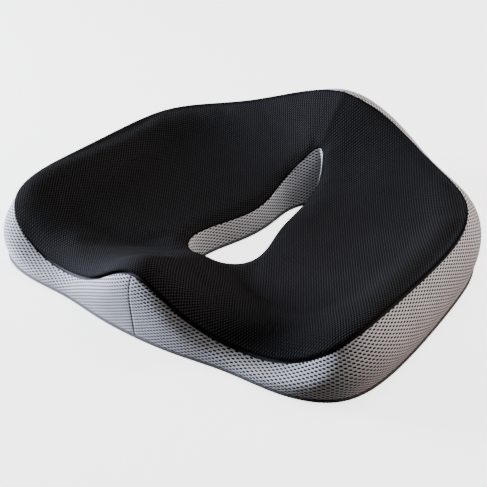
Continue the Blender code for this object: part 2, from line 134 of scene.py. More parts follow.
def planSpline(half):
    points = np.array(half, float)
    x, y = ringSpline(points[:, 0], -1.0), ringSpline(points[:, 1])
    return lambda place: np.stack([x(place), y(place)], axis=-1)


def outwardAt(plan, place):
    step = 0.02
    along = plan(place + step) - plan(place - step)
    out = np.stack([along[:, 1], -along[:, 0]], axis=1)
    return out / np.linalg.norm(out, axis=1)[:, None]


def lifted(plan, height):
    return np.column_stack([plan, np.broadcast_to(height, len(plan))])


def unit(v):
    return v / np.maximum(np.linalg.norm(v, axis=-1, keepdims=True), 1e-12)


basePlan = planSpline(baseStations)
edgePlan = planSpline([
    (x * shape["cutoutWidth"] / 2, shape["cutoutFront"] + y * shape["cutoutLength"]) for x, y in cutoutShares
])
edgeHeights = (
    shape["seatThickness"]
    + np.array(frontShare) * shape["cutoutFrontRise"]
    + np.array(backShare) * shape["cutoutBackRise"]
)
heightAt, insetAt, angleAt = ringSpline(seamHeight), ringSpline(seamInset), ringSpline(rimAngle)
leanAt, dishAt, riseAt = ringSpline(bandLean), ringSpline(dishPower), ringSpline(rimRise)
widthAt, edgeHeightAt, zipAt = ringSpline(rimWidth), ringSpline(edgeHeights), ringSpline(zipShare)


def evenPlaces(plan, count):
    # Places on the ring that are equally far apart along it, the same on both sides.
    fine = np.linspace(0, stationCount / 2, 4001)
    points = plan(fine)
    run = np.concatenate([[0], np.cumsum(np.linalg.norm(np.diff(points, axis=0), axis=1))])
    half = np.interp(np.linspace(0, run[-1], count // 2 + 1), run, fine)
    return np.concatenate([half, stationCount - half[-2:0:-1]]), 2 * run[-1]


# The band rises straight to a knee, and bends from there to the seam.
bandCurve = {"kneeRows": 6, "kneeShare": 0.2, "leave": 0.42, "arrive": 0.36}


def bandRows(place, steps=48):
    # The side of the cushion, from the base edge up to the seam, as rows of points.
    base = basePlan(place)
    out = outwardAt(basePlan, place)
    high = heightAt(place)
    seam = lifted(base - out * insetAt(place)[:, None], high)
    foot = lifted(base, shape["bandBase"])
    straight = np.clip(zipAt(place), 0, 1)
    rise = bandCurve["kneeShare"] * (high - shape["bandBase"]) * (1 - straight)
    rise = rise + (shape["zipTop"] - shape["bandBase"]) * straight
    lean = leanAt(place)
    knee = lifted(base + out * (lean * rise * (1 - straight))[:, None], shape["bandBase"] + rise)
    level = lifted(out, 0.0)
    reach = np.linalg.norm(seam - knee, axis=1)[:, None]
    angle = np.radians(angleAt(place))[:, None]
    arrival = -level * np.cos(angle) + up * np.sin(angle)
    near = knee + (level * lean[:, None] + up) * reach * bandCurve["leave"]
    far = seam - arrival * reach * bandCurve["arrive"]
    rows = [foot + (knee - foot) * t for t in np.linspace(0, 1, bandCurve["kneeRows"] + 1)[:-1]]
    for t in np.linspace(0, 1, steps):
        s = 1 - t
        rows.append(s**3 * knee + 3 * t * s**2 * near + 3 * t * t * s * far + t**3 * seam)
    return np.array(rows)


def topRows(place, shares):
    # The seat, from the seam in to the cut-out.
    seam = bandRows(place, 2)[-1]
    edge = edgePlan(place)
    edgeHeight = edgeHeightAt(place)
    across = np.linalg.norm(edge - seam[:, :2], axis=1)
    rows = []
    for share in shares:
        plan = seam[:, :2] + (edge - seam[:, :2]) * share
        height = edgeHeight + (heightAt(place) - edgeHeight) * (1 - share) ** dishAt(place)
        roll = np.clip(share * across / widthAt(place), 0, 1)
        # The 6.75 makes the roll reach its full rise.
        height = height + riseAt(place) * 6.75 * roll * (1 - roll) ** 2
        near = np.clip(1 - (1 - share) * across / shape["edgeRoll"], 0, 1)
        rows.append(lifted(plan, height + shape["edgeDrop"] * (1 - near**2)))
    return np.array(rows)


def wallRows(place, shares):
    # The wall of the cut-out, from the seat's edge down to the base.
    top = topRows(place, [1.0])[0]
    edge = edgePlan(place)
    foot = lifted(edge - outwardAt(edgePlan, place) * shape["cutoutTaper"], shape["bandBase"])
    return np.array([top + (foot - top) * share for share in shares])


def gridNormals(rows, closed=True):
    roundWay = np.roll(rows, -1, 1) - np.roll(rows, 1, 1)
    if not closed:
        roundWay = np.gradient(rows, axis=1)
    return unit(np.cross(roundWay, np.gradient(rows, axis=0)))


def turns(count):
    return [2 * math.pi * i / count for i in range(count)]


def newObject(name, data):
    made = bpy.data.objects.new(name, data)
    bpy.context.scene.collection.objects.link(made)
    return made


def evaluated(piece):
    return piece.evaluated_get(bpy.context.evaluated_depsgraph_get())


def buildMesh(name, points, faces, finish, uvs=None, attributes=None, smoothAngle=60):
    mesh = bpy.data.meshes.new(name)
    mesh.from_pydata([tuple(p) for p in points], [], faces)
    if uvs is not None:
        layer = mesh.uv_layers.new(name="cloth")
        corner = np.empty(len(mesh.loops), np.int32)
        mesh.loops.foreach_get("vertex_index", corner)
        layer.data.foreach_set("uv", np.asarray(uvs, np.float32)[corner].ravel())
    for key, values in (attributes or {}).items():
        layer = mesh.attributes.new(key, "FLOAT", "POINT")
        layer.data.foreach_set("value", np.asarray(values, np.float32))
    mesh.materials.append(finish)
    if smoothAngle:
        mesh.shade_smooth()
        mesh.set_sharp_from_angle(angle=math.radians(smoothAngle))
    return newObject(name, mesh)


def gridFaces(rowCount, columns, flip=False, joined=False):
    # Faces between rows of points that each run round once. Joined, the last row also meets the first.
    faces = []
    for r in range(rowCount if joined else rowCount - 1):
        low, high = r * columns, (r + 1) % rowCount * columns
        for c in range(columns):
            d = (c + 1) % columns
            quad = (low + c, low + d, high + d, high + c)
            faces.append(quad[::-1] if flip else quad)
    return faces


def profileLengths(rows):
    steps = np.linalg.norm(np.diff(rows, axis=0), axis=2)
    return np.concatenate([np.zeros((1, rows.shape[1])), np.cumsum(steps, 0)])


def alongProfile(rows, lengths, wanted):
    # Points at the wanted distances up each column's profile.
    out = np.empty((len(wanted), rows.shape[1], 3))
    for c in range(rows.shape[1]):
        for axis in range(3):
            out[:, c, axis] = np.interp(wanted[:, c], lengths[:, c], rows[:, c, axis])
    return out


padding = {
    "columns": 264,
    "bandRows": 14,
    "topRows": 28,
    "wallRows": 7,
    "baseRows": 6,
    "frames": 20,
    "most": 3.0 * mm,    # how far the cloth may stand away from the moulded shape
    "smoothing": 2,
    "panelHold": 0.05,   # the seams and the base are held fully
    "cloth": {
        "quality": 6, "mass": 0.3, "tension_stiffness": 15, "compression_stiffness": 15, "shear_stiffness": 5,
        "bending_stiffness": 2.0, "air_damping": 2.0, "vertex_group_mass": "hold", "pin_stiffness": 1.0,
        "use_pressure": True, "uniform_pressure_force": 4.0,
    },
}
seamRow = padding["bandRows"] - 1
edgeRow = seamRow + padding["topRows"] - 1


def paddingGrid():
    place, _ = evenPlaces(basePlan, padding["columns"])
    band = bandRows(place)
    lengths = profileLengths(band)
    shares = np.linspace(0, 1, padding["bandRows"])[:, None] * lengths[-1][None, :]
    band = alongProfile(band, lengths, shares)
    top = topRows(place, np.linspace(0, 1, padding["topRows"]))[1:]
    wall = wallRows(place, np.linspace(0, 1, padding["wallRows"]))[1:]
    return np.concatenate([band, top, wall])


def closedPadding(name, rows, finish, smoothAngle):
    # The grid with rows added under the cushion, as one closed ring.
    shares = np.linspace(0, 1, padding["baseRows"] + 2)[1:-1]
    points = np.concatenate([rows, [rows[-1] + (rows[0] - rows[-1]) * s for s in shares]])
    faces = gridFaces(len(points), rows.shape[1], joined=True)
    return buildMesh(name, points.reshape(-1, 3), faces, finish, smoothAngle=smoothAngle)


def blowUpPadding():
    # The whole cover is blown up a little as cloth, and held at its seams. Returns how far it stands away
    # from the moulded shape.
    rows = paddingGrid()
    count, columns = rows.shape[:2]
    cloth = closedPadding("paddingCloth", rows, bpy.data.materials.new("padding"), 60)
    total = count + padding["baseRows"]
    hold = cloth.vertex_groups.new(name="hold")
    grip = np.full(total, padding["panelHold"])
    grip[[0, seamRow, edgeRow]] = grip[count - 1 :] = 1.0
    for r in range(total):
        hold.add(list(range(r * columns, (r + 1) * columns)), float(grip[r]), "REPLACE")
    sim = cloth.modifiers.new("cloth", "CLOTH")
    for key, value in padding["cloth"].items():
        setattr(sim.settings, key, value)
    sim.settings.effector_weights.gravity = 0.0
    sim.point_cache.frame_start = 1
    sim.point_cache.frame_end = padding["frames"]
    for step in range(1, padding["frames"] + 1):
        bpy.context.scene.frame_set(step)
    moved = evaluated(cloth)
    found = np.empty(total * columns * 3, np.float32)
    moved.data.vertices.foreach_get("co", found)
    cloth.modifiers.remove(sim)
    bpy.context.scene.frame_set(1)
    found = found.reshape(total, columns, 3).astype(float)
    height = ((found[:count] - rows) * gridNormals(rows)).sum(-1)
    height = padding["most"] * np.tanh(height / padding["most"])
    for _ in range(padding["smoothing"]):
        height = 0.5 * height + 0.25 * (np.roll(height, 1, 1) + np.roll(height, -1, 1))
    least, most = (round(value / mm, 2) for value in (height.min(), height.max()))
    print("padding stands", least, "to", most, "mm from the mould")
    return rows, height, cloth


def cubicRead(values, where, wrap):
    # Reads rows of values at fractional places with a smooth cubic.
    count = len(values)
    first = np.floor(where).astype(int)
    t = (where - first)[:, None]

    def at(i):
        return values[i % count] if wrap else values[np.clip(i, 0, count - 1)]

    a, b, c, d = at(first - 1), at(first), at(first + 1), at(first + 2)
    return b + 0.5 * t * (c - a + t * (2 * a - 5 * b + 4 * c - d + t * (3 * (b - c) + d - a)))


paddingRows, paddingHeight, paddingCloth = blowUpPadding()
print("padding done")


def widePadding(columnCount):
    # The cloth's height, read at that many columns.
    return cubicRead(paddingHeight.T, np.arange(columnCount) * padding["columns"] / columnCount, True).T


def paddingAt(columnCount, rowPlaces):
    # The height at some places between the rows, the same ones for every column.
    return cubicRead(widePadding(columnCount), np.asarray(rowPlaces, float), False)


def paddingPerColumn(columnCount, rowPlaces):
    # The height with a list of row places for each column.
    wide = widePadding(columnCount)
    low = np.clip(np.floor(rowPlaces).astype(int), 0, len(wide) - 2)
    t = rowPlaces - low
    t = t * t * (3 - 2 * t)
    columns = np.arange(columnCount)[None, :]
    return wide[low, columns] * (1 - t) + wide[low + 1, columns] * t


def hexColour(text):
    values = [int(text[i : i + 2], 16) / 255 for i in (1, 3, 5)]
    linear = [v / 12.92 if v <= 0.04045 else ((v + 0.055) / 1.055) ** 2.4 for v in values]
    return (*linear, 1.0)


def addNode(tree, kind, settings):
    # Each setting is a node or socket to link, a value for an input's name or number, a ramp's stops, or one
    # of the node's own properties. A node stands for its first output.
    node = tree.nodes.new(kind)
    for key, value in settings.items():
        if isinstance(value, bpy.types.Node):
            value = value.outputs[0]
        if key == "stops":
            for _ in value[2:]:
                node.color_ramp.elements.new(0.5)
            for point, (position, colour) in zip(node.color_ramp.elements, value):
                point.position, point.color = position, hexColour(colour)
        elif isinstance(value, bpy.types.NodeSocket):
            tree.links.new(value, node.inputs[key])
        elif isinstance(key, int) or key in node.inputs:
            node.inputs[key].default_value = value
        else:
            setattr(node, key, value)
    return node


def newFinish(name):
    made = bpy.data.materials.new(name)
    made.use_nodes = True
    made.node_tree.nodes.clear()
    return made, made.node_tree


def finished(made, settings):
    shader = addNode(made.node_tree, "ShaderNodeBsdfPrincipled", settings)
    addNode(made.node_tree, "ShaderNodeOutputMaterial", {"Surface": shader})
    return made


def staggered(tree, across, upward, pitch, rowPitch):
    # A smooth staggered lattice: 1 at each hole or loop, -1 half way between two of them.
    turned = []
    for socket, scale in ((across, 2 * math.pi / pitch), (upward, math.pi / rowPitch)):
        angle = addNode(tree, "ShaderNodeMath", {"operation": "MULTIPLY", 0: socket, 1: scale})
        turned.append(addNode(tree, "ShaderNodeMath", {"operation": "COSINE", 0: angle}))
    return addNode(tree, "ShaderNodeMath", {"operation": "MULTIPLY", 0: turned[0], 1: turned[1]})


airMesh = {
    "holePitch": 7.4 * mm,     # between holes in one row, and every other row sits half way between
    "rowPitch": 1.84 * mm,
    "holeColumns": 8,          # columns of points for each hole
    "holeDepth": 0.9 * mm,
    "yarnPitch": 0.62 * mm,
    "yarn": "#eeeef0",
    # painted shade between the loops of yarn
    "yarnShade": "#b4b5b9",
    # painted shade inside the holes
    "hole": "#0e0e0f",
    "wear": "#b9b9bc",
}


def airMeshFinish():
    # Polyester air mesh: light grey and matte, with staggered holes painted near black as painted shade,
    # and a fine grain of loops between them, with painted shade between the loops.
    made, tree = newFinish("polyesterAirMesh")
    cloth = addNode(tree, "ShaderNodeUVMap", {"uv_map": "cloth"})
    split = addNode(tree, "ShaderNodeSeparateXYZ", {"Vector": cloth})
    across, along = split.outputs["X"], split.outputs["Y"]
    lattice = staggered(tree, across, along, airMesh["holePitch"], airMesh["rowPitch"])
    loops = addNode(
        tree, "ShaderNodeTexVoronoi",
        {"voronoi_dimensions": "2D", "Vector": cloth, "Scale": 1 / airMesh["yarnPitch"], "Randomness": 0.55},
    )
    place = addNode(tree, "ShaderNodeTexCoord", {}).outputs["Object"]
    blotch = addNode(tree, "ShaderNodeTexNoise", {"Vector": place, "Scale": 26.0, "Detail": 3.0})
    yarnStops = [(0.0, airMesh["yarn"]), (0.8, airMesh["yarnShade"])]
    yarn = addNode(tree, "ShaderNodeValToRGB", {"Fac": loops, "stops": yarnStops})
    worn = addNode(
        tree, "ShaderNodeValToRGB", {"Fac": blotch, "stops": [(0.3, airMesh["wear"]), (0.7, "#ffffff")]}
    )
    tinted = addNode(
        tree, "ShaderNodeMix", {"data_type": "RGBA", "blend_type": "MULTIPLY", 0: 0.3, 6: yarn, 7: worn}
    ).outputs[2]
    wobble = addNode(tree, "ShaderNodeMath", {"operation": "MULTIPLY_ADD", 0: loops, 1: 0.25, 2: lattice})
    # Painted shade: the holes are coloured near black.
    opening = addNode(
        tree, "ShaderNodeValToRGB", {"Fac": wobble, "stops": [(0.1, "#000000"), (0.42, "#ffffff")]}
    )
    colour = addNode(
        tree, "ShaderNodeMix", {"data_type": "RGBA", 0: opening, 6: tinted, 7: hexColour(airMesh["hole"])}
    ).outputs[2]
    relief = addNode(tree, "ShaderNodeMath", {"operation": "ADD", 0: loops, 1: opening})
    bump = addNode(
        tree, "ShaderNodeBump", {"invert": True, "Strength": 0.6, "Distance": 0.3 * mm, "Height": relief}
    )
    return finished(made, {
        "Base Color": colour, "Roughness": 0.85, "Specular IOR Level": 0.3, "Sheen Weight": 0.1,
        "Sheen Roughness": 0.5, "Normal": bump,
    })


knit = {
    "rib": 2.1 * mm,       # drawn coarser than the real 1.6 mm rib, so that it still shows
    "stitch": 2.9 * mm,
    "yarn": "#303032",
    # painted shade in the pores
    "pore": "#020202",
    "faded": "#b4b4b8",
}


def knitFinish():
    # Black polyester spacer knit: staggered loops in fine ribs with a pore between them, nearly matte. The
    # pores are painted near black as painted shade.
    made, tree = newFinish("blackSpacerKnit")
    cloth = addNode(tree, "ShaderNodeUVMap", {"uv_map": "cloth"})
    split = addNode(tree, "ShaderNodeSeparateXYZ", {"Vector": cloth})
    lattice = staggered(tree, split.outputs["X"], split.outputs["Y"], knit["stitch"], knit["rib"])
    place = addNode(tree, "ShaderNodeTexCoord", {}).outputs["Object"]
    fuzz = addNode(tree, "ShaderNodeTexNoise", {"Vector": place, "Scale": 900.0, "Detail": 2.0})
    level = addNode(tree, "ShaderNodeMath", {"operation": "MULTIPLY_ADD", 0: fuzz, 1: 0.5, 2: lattice})
    blotch = addNode(
        tree, "ShaderNodeTexNoise", {"Vector": place, "Scale": 14.0, "Detail": 4.0, "Roughness": 0.6}
    )
    # Painted shade: the low places between the loops are coloured near black.
    yarn = addNode(
        tree, "ShaderNodeValToRGB", {"Fac": level, "stops": [(0.15, knit["pore"]), (0.7, knit["yarn"])]}
    )
    faded = addNode(
        tree, "ShaderNodeValToRGB", {"Fac": blotch, "stops": [(0.3, knit["faded"]), (0.7, "#ffffff")]}
    )
    loose = addNode(
        tree, "ShaderNodeMix", {"data_type": "RGBA", "blend_type": "MULTIPLY", 0: 0.5, 6: yarn, 7: faded}
    ).outputs[2]
    # Painted shade: near its seams the knit is coloured as dark as its pores.
    squeezed = addNode(tree, "ShaderNodeAttribute", {"attribute_name": "squeezed"}).outputs["Fac"]
    colour = addNode(
        tree, "ShaderNodeMix", {"data_type": "RGBA", 0: squeezed, 6: loose, 7: hexColour(knit["pore"])}
    ).outputs[2]
    bump = addNode(tree, "ShaderNodeBump", {"Strength": 0.7, "Distance": 0.45 * mm, "Height": level})
    return finished(made, {
        "Base Color": colour, "Roughness": 0.9, "Specular IOR Level": 0.06, "Normal": bump,
    })


def wovenFinish(name, warp, weft, pitch, roughness=0.8):
    # Plain-woven cloth: crossing threads that read as a fine check.
    made, tree = newFinish(name)
    place = addNode(tree, "ShaderNodeTexCoord", {}).outputs["Object"]
    split = addNode(tree, "ShaderNodeSeparateXYZ", {"Vector": place})
    x, y, z = split.outputs
    depth = addNode(tree, "ShaderNodeMath", {"operation": "ADD", 0: y, 1: z})
    weave = staggered(tree, x, depth, 2 * pitch, pitch)
    level = addNode(tree, "ShaderNodeMapRange", {"Value": weave, "From Min": -1.0})
    colour = addNode(tree, "ShaderNodeValToRGB", {"Fac": level, "stops": [(0.2, warp), (0.8, weft)]})
    bump = addNode(tree, "ShaderNodeBump", {"Strength": 0.6, "Distance": 0.2 * mm, "Height": level})
    return finished(made, {
        "Base Color": colour, "Roughness": roughness, "Specular IOR Level": 0.3, "Sheen Weight": 0.15,
        "Normal": bump,
    })


def twistFinish(name, dark, light, pitch, roughness=0.6):
    # Twisted or bound yarn: colour and relief run slantwise round the cord, on its own UV map.
    made, tree = newFinish(name)
    cloth = addNode(tree, "ShaderNodeUVMap", {"uv_map": "cloth"})
    split = addNode(tree, "ShaderNodeSeparateXYZ", {"Vector": cloth})
    along, across = split.outputs["X"], split.outputs["Y"]
    slant = addNode(tree, "ShaderNodeMath", {"operation": "MULTIPLY_ADD", 0: across, 1: 0.6, 2: along})
    angle = addNode(tree, "ShaderNodeMath", {"operation": "MULTIPLY", 0: slant, 1: 2 * math.pi / pitch})
    wave = addNode(tree, "ShaderNodeMath", {"operation": "SINE", 0: angle})
    level = addNode(tree, "ShaderNodeMapRange", {"Value": wave, "From Min": -1.0})
    colour = addNode(tree, "ShaderNodeValToRGB", {"Fac": level, "stops": [(0.1, dark), (0.8, light)]})
    bump = addNode(tree, "ShaderNodeBump", {"Strength": 0.6, "Distance": 0.25 * mm, "Height": level})
    return finished(made, {
        "Base Color": colour, "Roughness": roughness, "Sheen Weight": 0.15, "Normal": bump,
    })


def grainFinish(name, dark, light, roughness, metallic=0.0, grain=400.0, grainDepth=0.03 * mm):
    # Moulded, cast or printed surface: a little unevenness in colour, gloss and relief.
    made, tree = newFinish(name)
    place = addNode(tree, "ShaderNodeTexCoord", {}).outputs["Object"]
    noise = addNode(tree, "ShaderNodeTexNoise", {"Vector": place, "Scale": grain, "Detail": 4.0})
    colour = addNode(tree, "ShaderNodeValToRGB", {"Fac": noise, "stops": [(0.3, dark), (0.7, light)]})
    gloss = addNode(
        tree, "ShaderNodeMapRange", {"Value": noise, "To Min": roughness - 0.06, "To Max": roughness + 0.08}
    )
    bump = addNode(tree, "ShaderNodeBump", {"Strength": 0.4, "Distance": grainDepth, "Height": noise})
    return finished(made, {"Base Color": colour, "Metallic": metallic, "Roughness": gloss, "Normal": bump})


airMeshCloth = airMeshFinish()
blackKnit = knitFinish()
baseCloth = wovenFinish("blackNonSlipCloth", "#0c0c0d", "#222327", 0.9 * mm)
bindingTape = twistFinish("blackBindingTape", "#0b0b0c", "#232327", 1.5 * mm)
greyThread = twistFinish("greySewingThread", "#3c3c40", "#77777c", 0.7 * mm)
gripRubber = grainFinish("blackSilicone", "#0e0e0f", "#1b1b1d", 0.45)
zipTape = wovenFinish("blackZipTape", "#09090a", "#1c1c1f", 0.5 * mm, 0.75)
zipNylon = grainFinish("blackNylonCoil", "#0e0e10", "#1d1d20", 0.38)
zipMetal = grainFinish("gunmetalZinc", "#54555a", "#7a7b80", 0.32, 1.0, 600.0)
memoryFoam = grainFinish("charcoalMemoryFoam", "#2b2b2d", "#3c3c3f", 0.9, 0.0, 700.0, 0.3 * mm)
print("finishes done")


cover = {
    "seamDepth": 0.7 * mm,     # how far the cloth turns in at a seam
    "seamWidth": 1.2 * mm,
    "seamBlend": 5.0 * mm,     # both cloths turn to the seam's own direction this near it
    "stitch": 3.4 * mm,
    "stitchPull": 0.2,
    "seamShadeWidth": 2.5 * mm,  # the knit is painted darker this near a seam, as painted shade
    "tuck": 1.5 * mm,          # how far a cloth's foot reaches down into its binding
    "foamDepth": 3.3 * mm,
    "foamBase": 2.6 * mm,
    "ridge": 1.1 * mm,         # raised line from the cut-out up to the back
    "ridgeWidth": 5.0 * mm,
}


def seamPull(distance, phase=None):
    # How far the cloth turns in at that distance from a seam, deeper at each stitch.
    pull = 1 if phase is None else 1 + cover["stitchPull"] * np.cos(phase)
    return cover["seamDepth"] * np.exp(-((distance / cover["seamWidth"]) ** 2)) * pull


def turnedTo(own, seamWay, distance):
    # Near a seam both cloths move along the seam's own direction, so that they meet there.
    weight = np.exp(-((distance / cover["seamBlend"]) ** 2))[..., None]
    return unit(own * (1 - weight) + seamWay * weight)


def seatSeamWay(place):
    side = gridNormals(bandRows(place, 12))[-1]
    seat = gridNormals(topRows(place, np.array([0.0, 0.01, 0.02])))[0]
    return unit(side + seat)


def cutoutEdgeWay(place):
    return unit(lifted(-outwardAt(edgePlan, place), 1.0))


def ringOf(plan):
    # Whole holes round the ring, and how far the stitches have turned at each column.
    columns = airMesh["holeColumns"] * round(evenPlaces(plan, 8)[1] / airMesh["holePitch"])
    place, girth = evenPlaces(plan, columns)
    phase = 2 * math.pi * np.arange(columns) * round(girth / cover["stitch"]) / columns
    return place, columns, girth, phase


def meshBand(rows, normals, seamWay, swell, phase=None, joined=()):
    # Air mesh laid up a ring of profiles at a steady pitch, with its holes, trimmed at the seam.
    columns = rows.shape[1]
    lengths = profileLengths(rows)
    total = lengths[-1]
    rise = airMesh["rowPitch"] / 2
    top = np.maximum(np.ceil(total / rise - 0.35).astype(int), 1)
    level = np.arange(top.max() + 1)[:, None]
    wanted = np.where(level < top, level * rise, total)
    points = alongProfile(rows, lengths, wanted)
    fromSeam = total - wanted
    facing = turnedTo(unit(alongProfile(normals, lengths, wanted)), seamWay, fromSeam)
    number = np.arange(columns)
    lattice = np.cos(2 * math.pi * number / airMesh["holeColumns"]) * np.cos(level * math.pi / 2)
    holes = airMesh["holeDepth"] * np.clip(lattice, 0, 1) * np.clip(fromSeam / mm, 0, 1)
    depth = holes + seamPull(fromSeam, phase)
    step = airMesh["holePitch"] / airMesh["holeColumns"]
    for column in joined:
        away = np.minimum((number - column) % columns, (column - number) % columns) * step
        depth = np.maximum(depth, seamPull(away, 2 * math.pi * wanted / cover["stitch"]))
    points = points + facing * (swell(wanted / total) - depth)[..., None]
    centred = np.where(number > columns // 2, number - columns, number) * step
    uvs = np.stack([np.broadcast_to(centred, wanted.shape), wanted], axis=-1)
    return points, uvs, top


def bandPiece(name, band, first, last, skip=None, flip=False):
    # One sewn piece of a band, between two columns. The skipped cells are the window for the zip.
    points, uvs, top = band
    high, columns = points.shape[:2]
    picked = np.arange(first, last + 1) % columns
    number = np.full((high, len(picked)), -1)
    order, faces = [], []
    for j in range(len(picked) - 1):
        for k in range(max(top[picked[j]], top[picked[j + 1]])):
            if skip is not None and skip(k, first + j):
                continue
            corners = []
            for level, column in ((k, j), (k, j + 1), (k + 1, j + 1), (k + 1, j)):
                level = min(level, top[picked[column]])
                if number[level, column] < 0:
                    number[level, column] = len(order)
                    order.append((level, picked[column]))
                if number[level, column] not in corners:
                    corners.append(int(number[level, column]))
            if len(corners) > 2:
                faces.append(corners[::-1] if flip else corners)
    level, column = np.array(order).T
    return buildMesh(name, points[level, column], faces, airMeshCloth, uvs[level, column], smoothAngle=180)


sidePlace, sideColumns, sideGirth, seamPhase = ringOf(basePlan)
backColumn = sideColumns // 2
zipColumns = round(shape["backRadius"] * shape["zipAngle"] * sideColumns / sideGirth)
zipLevels = round((shape["zipTop"] - shape["bandBase"]) * 2 / airMesh["rowPitch"])


def makeSideBands():
    def swell(share):
        return paddingPerColumn(sideColumns, share * seamRow)

    rows = bandRows(sidePlace, 40)
    band = meshBand(rows, gridNormals(rows), seatSeamWay(sidePlace), swell, seamPhase, (0, backColumn))
    band[0][0] -= lifted(outwardAt(basePlan, sidePlace) * cover["tuck"] / 2, cover["tuck"])

    def inZip(level, column):
        return level < zipLevels and backColumn - zipColumns <= column < backColumn + zipColumns

    right = bandPiece("sideBandRight", band, 0, backColumn, inZip)
    left = bandPiece("sideBandLeft", band, backColumn, sideColumns, inZip)
    return right, left, band


def makeLining():
    place, columns, _, _ = ringOf(edgePlan)
    rows = wallRows(place, np.linspace(1, 0, 12))
    band = meshBand(rows, -gridNormals(rows), cutoutEdgeWay(place), lambda share: 0 * share)
    band[0][0] += lifted(outwardAt(edgePlan, place) * cover["tuck"] / 2, -cover["tuck"])
    return bandPiece("cutoutLining", band, 0, columns, flip=True)


# The top panel's rows lie close together at the seam and at the cut-out.
seatRows = {
    "nearSeam": (0, 0.7, 1.4, 2.2, 3.2, 4.6, 6.4, 8.8),      # mm from the seam
    "run": 0.13,                                             # from the seam to the cut-out, about
    "middle": 40,
    "nearCutout": (0.965, 0.975, 0.984, 0.991, 0.996, 1.0),  # as shares of the run
    "swellFade": 8 * mm,
    "ridgeFade": 10 * mm,
}


def makeTopPanel():
    nearSeam = np.array(seatRows["nearSeam"]) * mm / seatRows["run"]
    middle = np.linspace(nearSeam[-1], seatRows["nearCutout"][0], seatRows["middle"])[1:]
    shares = np.concatenate([nearSeam, middle, seatRows["nearCutout"][1:]])
    rows = topRows(sidePlace, shares)
    lengths = profileLengths(rows)
    fromEdge = lengths[-1] - lengths
    facing = turnedTo(gridNormals(rows), seatSeamWay(sidePlace), lengths)
    facing = turnedTo(facing, cutoutEdgeWay(sidePlace), fromEdge)
    swell = paddingAt(sideColumns, seamRow + shares * (padding["topRows"] - 1))
    swell = swell * np.clip(fromEdge / seatRows["swellFade"], 0, 1)
    ridge = cover["ridge"] * np.exp(-((rows[..., 0] / cover["ridgeWidth"]) ** 2)) * (rows[..., 1] > 0)
    ridge = ridge * np.clip(fromEdge / seatRows["ridgeFade"], 0, 1)
    depth = seamPull(lengths, seamPhase) + seamPull(fromEdge) - ridge
    points = rows + facing * (swell - depth)[..., None]
    # Painted shade along the seams and the cut-out edge, for the knit's colour.
    squeezed = np.exp(-((np.minimum(lengths, fromEdge) / cover["seamShadeWidth"]) ** 2))
    return buildMesh(
        "topPanel", points.reshape(-1, 3), gridFaces(len(shares), sideColumns), blackKnit,
        rows[..., :2].reshape(-1, 2), {"squeezed": squeezed.ravel()}, smoothAngle=180,
    )


def makeFoam():
    # The moulded core: the blown-up cloth's own mesh, drawn in by the cover's thickness.
    rows = paddingRows + gridNormals(paddingRows) * (paddingHeight - cover["foamDepth"])[..., None]
    rows[0][:, 2] = rows[-1][:, 2] = cover["foamBase"]
    bpy.data.objects.remove(paddingCloth)
    return closedPadding("foamCore", rows, memoryFoam, 50)


rightBand, leftBand, bandGrid = makeSideBands()
print("side bands done")
lining = makeLining()
topPanel = makeTopPanel()
foamCore = makeFoam()
print("cover done")


def sweptCord(name, path, outward, radius, finish, closed=True, pitch=0.0, squeeze=0.0, sides=10):
    # Cord along a level path, pinched where its stitches pull it.
    count = len(path)
    run = np.concatenate([[0], np.cumsum(np.linalg.norm(np.diff(path, axis=0), axis=1))])
    points, uvs, faces = [], [], []
    for i in range(count):
        r = radius * (1 - squeeze * max(0.0, math.cos(2 * math.pi * run[i] / pitch))) if pitch else radius
        for side in range(sides):
            a = 2 * math.pi * side / sides
            points.append(path[i] + outward[i] * r * math.cos(a) + up * r * math.sin(a))
            uvs.append((run[i], radius * a))
    for i in range(count if closed else count - 1):
        j = (i + 1) % count
        for side in range(sides):
            beside = (side + 1) % sides
            faces.append((i * sides + side, j * sides + side, j * sides + beside, i * sides + beside))
    if not closed:
        faces += [tuple(range(sides)), tuple(range(len(points) - 1, len(points) - 1 - sides, -1))]
    return buildMesh(name, points, faces, finish, uvs)


def cutoutFoot(place):
    return wallRows(place, [1.0])[0][:, :2]


def baseOutlines(count, inset):
    # The inner and outer outline of the base, that far inside its edges.
    place, _ = evenPlaces(basePlan, count)
    outer = basePlan(place) - outwardAt(basePlan, place) * inset
    return cutoutFoot(place) + outwardAt(edgePlan, place) * inset, outer


binding = {
    "radius": 1.75 * mm, "height": 1.8 * mm, "proud": 1.6 * mm, "stitch": 3.2 * mm, "squeeze": 0.14,
    "baseCount": 1200, "cutoutCount": 520,
}


def makeBinding(name, plan, foot, count, side):
    place, _ = evenPlaces(plan, count)
    out = lifted(outwardAt(plan, place), 0.0)
    path = lifted(foot(place), binding["height"]) + out * side * (binding["radius"] - binding["proud"])
    return sweptCord(
        name, path, out, binding["radius"], bindingTape, pitch=binding["stitch"], squeeze=binding["squeeze"]
    )


base = {
    "columns": 396, "rows": 26, "low": 0.45 * mm, "high": 2.0 * mm, "inset": 2.9 * mm, "quilt": 0.18 * mm,
    "waves": (61, 53), "shift": 1.3,
}


